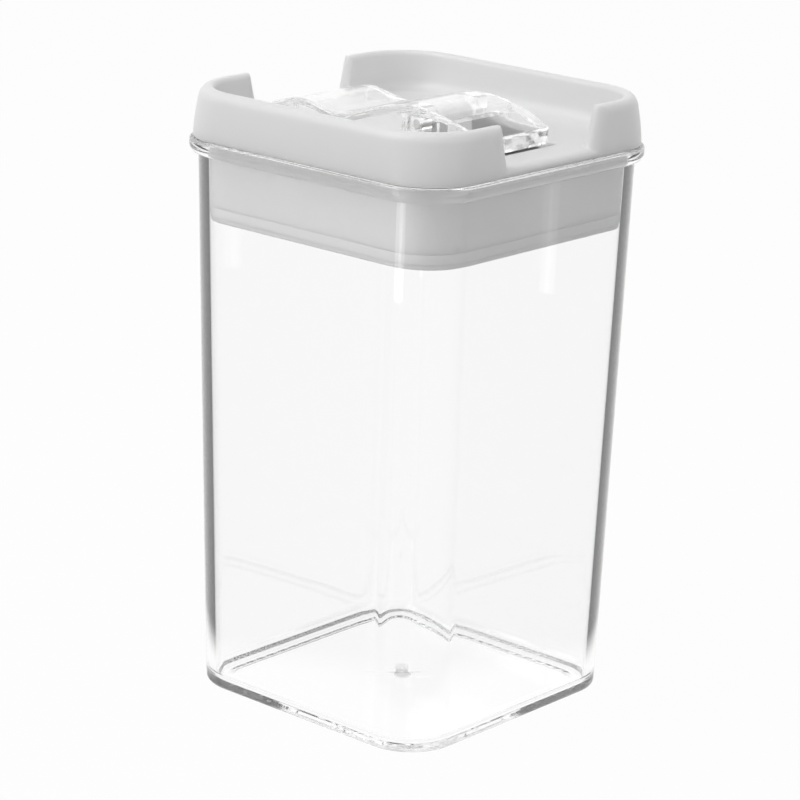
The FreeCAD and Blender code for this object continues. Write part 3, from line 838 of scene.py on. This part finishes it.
class JAR_OT_build_cover(bpy.types.Operator):
    """Makes the cover: wall with two notches, tray floor with the lever's well, and locating rib"""

    bl_idname = "jar.build_cover"
    bl_label = "Lid cover"

    def execute(self, context):
        grid = CoverGrid(context.scene.lid_sizes)
        crest = grid.outside()
        grid.inside(crest)
        grid.floor()
        grid.underside()
        mesh = grid_mesh("lid_tray_cover", np.array(grid.rings), loop_rows=True)
        cover = new_piece("lid_tray_cover", mesh, "white_abs_moulded")
        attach(cover, "lid")
        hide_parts("lid_cover")
        return {"FINISHED"}


class JAR_OT_build_guide(bpy.types.Operator):
    """Makes the post's guide: a channel under the tray floor, walled on three sides of the post"""

    bl_idname = "jar.build_guide"
    bl_label = "Post guide"

    def execute(self, context):
        lid = context.scene.lid_sizes
        back = WELL_START - SLOT_REACH
        front = back + GUIDE_LENGTH
        high = lid.tray_floor - lid.floor_thickness / 2
        low = lid.tray_floor - lid.floor_thickness - GUIDE_DEPTH

        def channel(wall):
            half = SLOT_HALF + wall
            return [(front, half), (back - wall, half), (back - wall, -half), (front, -half)]

        # The wall's four edges as rings, one at each turn of the channel
        inner = channel(0.0)
        outer = channel(GUIDE_WALL)
        section = ((inner, low), (outer, low), (outer, high), (inner, high))
        points = np.array([[(x, y, z) for x, y in line] for line, z in section]).swapaxes(0, 1)
        mesh = grid_mesh(
            "post_guide", points,
            pole_low=points[0].mean(axis=0), pole_high=points[-1].mean(axis=0))
        guide = new_piece("post_guide", mesh, "white_abs_moulded")
        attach(guide, "lid")
        return {"FINISHED"}


class JAR_OT_build_seal(bpy.types.Operator):
    """Makes the seal: a soft ring between skirt and plate

    With t from -1 at its lower edge to 1 at its upper edge, its outside swells by 1 - t squared and
    is pinched at the edges by t to the eighth.
    """

    bl_idname = "jar.build_seal"
    bl_label = "Seal ring"

    def execute(self, context):
        lid = context.scene.lid_sizes
        corner = rim_centre()
        low = SEAL_LOW[2]
        high = SEAL_HIGH[2]
        share = np.linspace(0, 1, 17)
        levels = low + (high - low) * share
        centres, radii = plug_profile(levels, lid.plug_clearance)
        from_middle = np.abs(2 * share - 1)
        swell = lid.seal_swell * (1 - from_middle ** 2)
        pinch = SEAL_PINCH * from_middle ** 8
        hole = SEAL_HOLE_HALF - corner
        centre = np.concatenate([centres, np.full_like(levels, corner)])
        radius = np.concatenate([radii + swell - pinch, hole + pinch[::-1]])
        height = np.concatenate([levels, levels[::-1]])
        rings = sweep(even_path(LID_SIDE_STEPS), centre, radius, height)
        mesh = grid_mesh("soft_seal", rings, loop_rows=True)
        seal = new_piece(
            "soft_seal", mesh, "white_silicone_pressed", sharp_degrees=50)
        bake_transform(seal)
        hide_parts("seal_ring")
        return {"FINISHED"}


class JAR_OT_finish_frame(bpy.types.Operator):
    """Gives the lever, post, plate, pin and screws their real finishes on the frame's own shapes"""

    bl_idname = "jar.finish_frame"
    bl_label = "Lever, post, plate, pin and screws"

    def execute(self, context):
        finishes = {
            "flip_lever": "clear_styrene_lever",
            "pull_post": "white_abs_moulded",
            "pressure_plate": "white_abs_moulded",
            "hinge_pin": "white_acetal_turned",
            "plate_screws": "stainless_headed",
        }
        for node, material in finishes.items():
            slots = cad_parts[node].material_slots
            if not slots:
                raise RuntimeError(node + " has no material slot")
            for place in slots:
                place.material = finish(material)
        return {"FINISHED"}


def white_to_the_eye(tree, path):
    """One where the studio is seen: by the camera, in a gloss or through clear plastic.

    Matt faces behind clear plastic get a share of it.
    """
    seen = compute(tree, "MAXIMUM", path.outputs["Is Camera Ray"], path.outputs["Is Glossy Ray"])
    seen = compute(tree, "MAXIMUM", seen, path.outputs["Is Transmission Ray"])
    matt = compute(tree, "GREATER_THAN", path.outputs["Diffuse Depth"], COUNT_SLACK)
    share = compute(tree, "MULTIPLY_ADD", matt, MATT_SHARE - 1.0, 1.0)
    return compute(tree, "MULTIPLY", seen, share)


def side_of_table(tree, path):
    """How white the table is to a ray: dim at its sides for light that turned once in a clear wall.

    Light that enters an upright wall, turns once on its inner face and leaves again comes from the
    dim sides of the room, so rounded upright edges show as grey lines, as in front of a lit card.
    """
    turned = compute(tree, "COMPARE", path.outputs["Glossy Depth"], 1.0, COUNT_SLACK)
    in_and_out = compute(
        tree, "COMPARE", path.outputs["Transmission Depth"], 2.0, COUNT_SLACK)
    turned = compute(tree, "MULTIPLY", turned, in_and_out)
    place = add_node(tree, "ShaderNodeTexCoord")
    away = add_node(
        tree, "ShaderNodeVectorMath", settings={"operation": "LENGTH"},
        links={0: place.outputs["Object"]})
    for (start, end), (first, last) in ((DIM_FROM, (0.0, 1.0)), (DIM_TO, (1.0, 0.0))):
        aside = add_node(
            tree, "ShaderNodeMapRange", settings={"interpolation_type": "SMOOTHSTEP"},
            values={"From Min": start, "From Max": end, "To Min": first, "To Max": last},
            links={"Value": away.outputs["Value"]})
        turned = compute(tree, "MULTIPLY", turned, aside.outputs["Result"])
    return compute(tree, "MULTIPLY_ADD", turned, DIM_SIDES - 1.0, 1.0)


def area_lamp(name, place, aim, face, power):
    """A soft lamp at a place that looks at a point, with a flat face of a width and height."""
    data = bpy.data.lights.new(name, "AREA")
    data.shape = "RECTANGLE"
    data.size, data.size_y = face
    data.energy = power
    lamp = bpy.data.objects.new(name, data)
    lamp.location = place
    lamp.rotation_euler = (Vector(aim) - Vector(place)).to_track_quat("-Z", "Y").to_euler()
    bpy.context.scene.collection.objects.link(lamp)


def painted_table(studio):
    """A painted table that looks white and keeps a soft shadow."""
    material, tree, output = new_material("white_painted_table")
    path = add_node(tree, "ShaderNodeLightPath")
    seen = white_to_the_eye(tree, path)
    white = side_of_table(tree, path)
    paint = add_node(tree, "ShaderNodeBsdfDiffuse", values={"Color": linear(TABLE_PAINT)})
    glow = add_node(
        tree, "ShaderNodeEmission", values={"Color": (1, 1, 1, 1)}, links={"Strength": white})
    share = compute(tree, "MULTIPLY", seen, studio.backdrop)
    mix = add_node(
        tree, "ShaderNodeMixShader", links={0: share, 1: paint.outputs[0], 2: glow.outputs[0]})
    tree.links.new(mix.outputs[0], output.inputs["Surface"])
    mesh = bpy.data.meshes.new("table_top")
    signs = ((-1, -1), (1, -1), (1, 1), (-1, 1))
    corners = [(x * TABLE_HALF, y * TABLE_HALF, -TABLE_DROP) for x, y in signs]
    mesh.from_pydata(corners, [], [(0, 1, 2, 3)])
    mesh.materials.append(material)
    table = bpy.data.objects.new("table_top", mesh)
    bpy.context.scene.collection.objects.link(table)
    return table


def white_world(studio):
    """A world that gives even light and looks white."""
    world = bpy.data.worlds.new("white_studio")
    world.use_nodes = True
    tree = world.node_tree
    tree.nodes.clear()
    output = add_node(tree, "ShaderNodeOutputWorld")
    seen = white_to_the_eye(tree, add_node(tree, "ShaderNodeLightPath"))
    light = add_node(
        tree, "ShaderNodeBackground", values={"Color": (1, 1, 1, 1), "Strength": studio.ambient})
    plain = add_node(
        tree, "ShaderNodeBackground", values={"Color": (1, 1, 1, 1), "Strength": 1.0})
    mix = add_node(
        tree, "ShaderNodeMixShader", links={0: seen, 1: light.outputs[0], 2: plain.outputs[0]})
    tree.links.new(mix.outputs[0], output.inputs["Surface"])
    return world


def photo_camera(studio):
    """A camera that looks at the jar's axis as the photo does."""
    # Its own axes: back along the view, right level with the table, then rolled
    azimuth, elevation, roll = studio.azimuth, studio.elevation, studio.roll
    flat = math.cos(elevation)
    back = Vector((math.sin(azimuth) * flat, -math.cos(azimuth) * flat, math.sin(elevation)))
    level = Vector((math.cos(azimuth), math.sin(azimuth), 0))
    upright = back.cross(level)
    right = math.cos(roll) * level + math.sin(roll) * upright
    up = math.cos(roll) * upright - math.sin(roll) * level
    place = Vector((0, 0, studio.aim_height)) + back * studio.distance
    data = bpy.data.cameras.new("studio_camera")
    data.sensor_width = 36.0
    data.lens = studio.lens
    data.shift_x = studio.shift
    camera = bpy.data.objects.new("studio_camera", data)
    axes = Matrix((right, up, back)).transposed().to_4x4()
    camera.matrix_world = Matrix.Translation(place) @ axes
    bpy.context.scene.collection.objects.link(camera)
    return camera


class JAR_OT_build_stage(bpy.types.Operator):
    """Makes the white studio: table, even light, soft lamps, two strip lamps for glints, camera"""

    bl_idname = "jar.build_stage"
    bl_label = "Studio"

    def execute(self, context):
        scene = context.scene
        studio = scene.jar_studio
        table = painted_table(studio)
        scene.world = white_world(studio)
        far_strip = studio.strip * FAR_STRIP_SHARE
        lamps = (
            ("key_lamp", (-0.5, -1.05, 1.05), LID_POINT, (0.9, 0.9), studio.key),
            ("fill_lamp", (1.2, 0.1, 0.6), LID_POINT, (0.9, 0.9), studio.fill),
            ("overhead_lamp", (-0.2, -0.4, 1.4), LID_POINT, (1.2, 1.2), studio.overhead),
            ("strip_lamp", (-0.06, -0.44, 0.07), GLINT_POINT, (0.1, 0.12), studio.strip),
            ("far_strip_lamp", (0.31, 0.333, 0.07), GLINT_POINT, (0.004, 0.12), far_strip),
        )
        for name, place, aim, face, power in lamps:
            area_lamp(name, place, aim, face, power)
        scene.camera = photo_camera(studio)
        scene.view_settings.view_transform = "Standard"
        # Clear walls turn light many times before it leaves them
        scene.cycles.max_bounces = 240
        scene.cycles.glossy_bounces = 220
        scene.cycles.transmission_bounces = 64
        return {"FINISHED"}


class JAR_PT_storage_jar(bpy.types.Panel):
    """The storage jar's pieces and settings"""

    bl_idname = "JAR_PT_storage_jar"
    bl_label = "Storage jar"
    bl_space_type = "VIEW_3D"
    bl_region_type = "UI"
    bl_category = "Storage jar"

    def draw(self, context):
        layout = self.layout
        for operator in BUILD_ORDER:
            layout.operator(operator.bl_idname)
        for name in GROUPS:
            box = layout.box()
            group = getattr(context.scene, name)
            for field in group.bl_rna.properties.keys():
                if field not in ("rna_type", "name"):
                    box.prop(group, field)


GROUPS = {
    "jar_sizes": JarSizes,
    "lid_sizes": LidSizes,
    "jar_colours": FinishColours,
    "jar_studio": StudioSettings,
}
BUILD_ORDER = (
    JAR_OT_build_jar,
    JAR_OT_build_skirt,
    JAR_OT_build_cover,
    JAR_OT_build_guide,
    JAR_OT_build_seal,
    JAR_OT_finish_frame,
    JAR_OT_build_stage,
)


def register():
    """Registers the classes and hangs the settings on the scene."""
    for name, group in GROUPS.items():
        bpy.utils.register_class(group)
        setattr(bpy.types.Scene, name, PointerProperty(type=group))
    for operator in BUILD_ORDER:
        bpy.utils.register_class(operator)
    bpy.utils.register_class(JAR_PT_storage_jar)


def unregister():
    """Takes the classes and settings away again."""
    bpy.utils.unregister_class(JAR_PT_storage_jar)
    for operator in reversed(BUILD_ORDER):
        bpy.utils.unregister_class(operator)
    for name, group in GROUPS.items():
        delattr(bpy.types.Scene, name)
        bpy.utils.unregister_class(group)


def main():
    """Builds the pieces and the studio."""
    register()
    bpy.ops.jar.build_jar()
    bpy.ops.jar.build_skirt()
    bpy.ops.jar.build_cover()
    bpy.ops.jar.build_guide()
    bpy.ops.jar.build_seal()
    bpy.ops.jar.finish_frame()
    bpy.ops.jar.build_stage()


if __name__ == "__main__":
    main()
